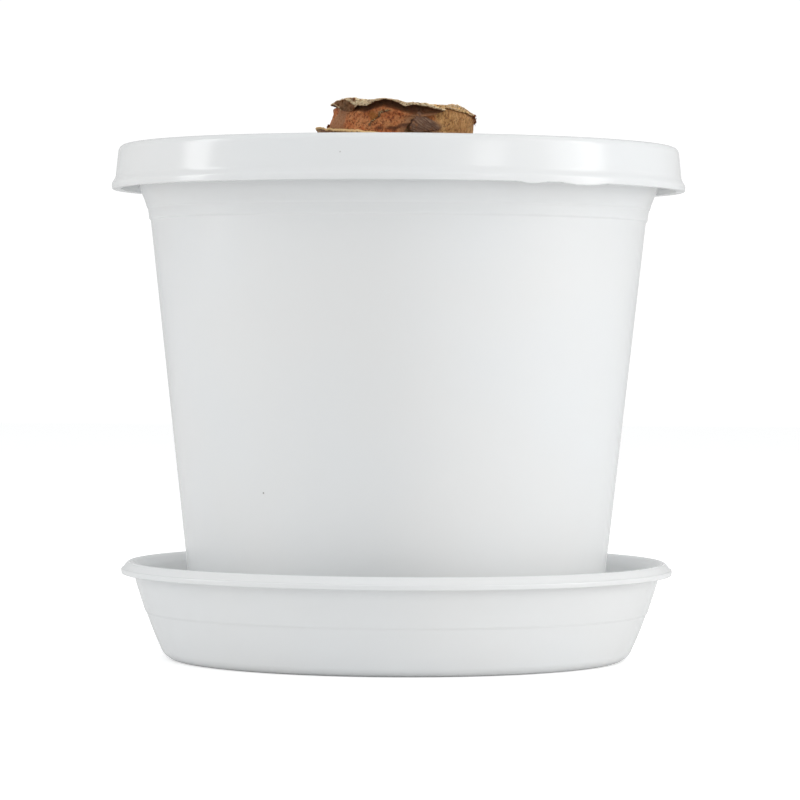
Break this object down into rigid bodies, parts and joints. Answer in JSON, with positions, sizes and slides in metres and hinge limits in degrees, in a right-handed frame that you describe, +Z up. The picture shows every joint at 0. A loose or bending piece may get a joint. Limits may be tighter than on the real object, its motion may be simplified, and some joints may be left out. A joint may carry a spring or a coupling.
{
  "type": "amaryllis bulb in a pot",
  "caption": "Dormant amaryllis bulb with a cut dry neck, planted in soil in a tapering round plastic pot with a deep collar, standing in its saucer.",
  "frame": {"origin": "centre of the saucer's foot, on the surface the plant stands on", "axes": "+Z up along the pot's axis, -Y towards the front that the picture shows, +X to the right"},
  "size_m": [0.16, 0.16, 0.156],
  "materials": {
    "saucer_plastic": "satin",
    "pot_plastic": "satin",
    "potting_soil": "matte",
    "bulb_skin": "matte"
  },
  "bodies": {
    "root": {"saucer": "saucer_plastic", "pot": "pot_plastic", "soil": "potting_soil", "bulb": "bulb_skin"}
  },
  "joints": []
}
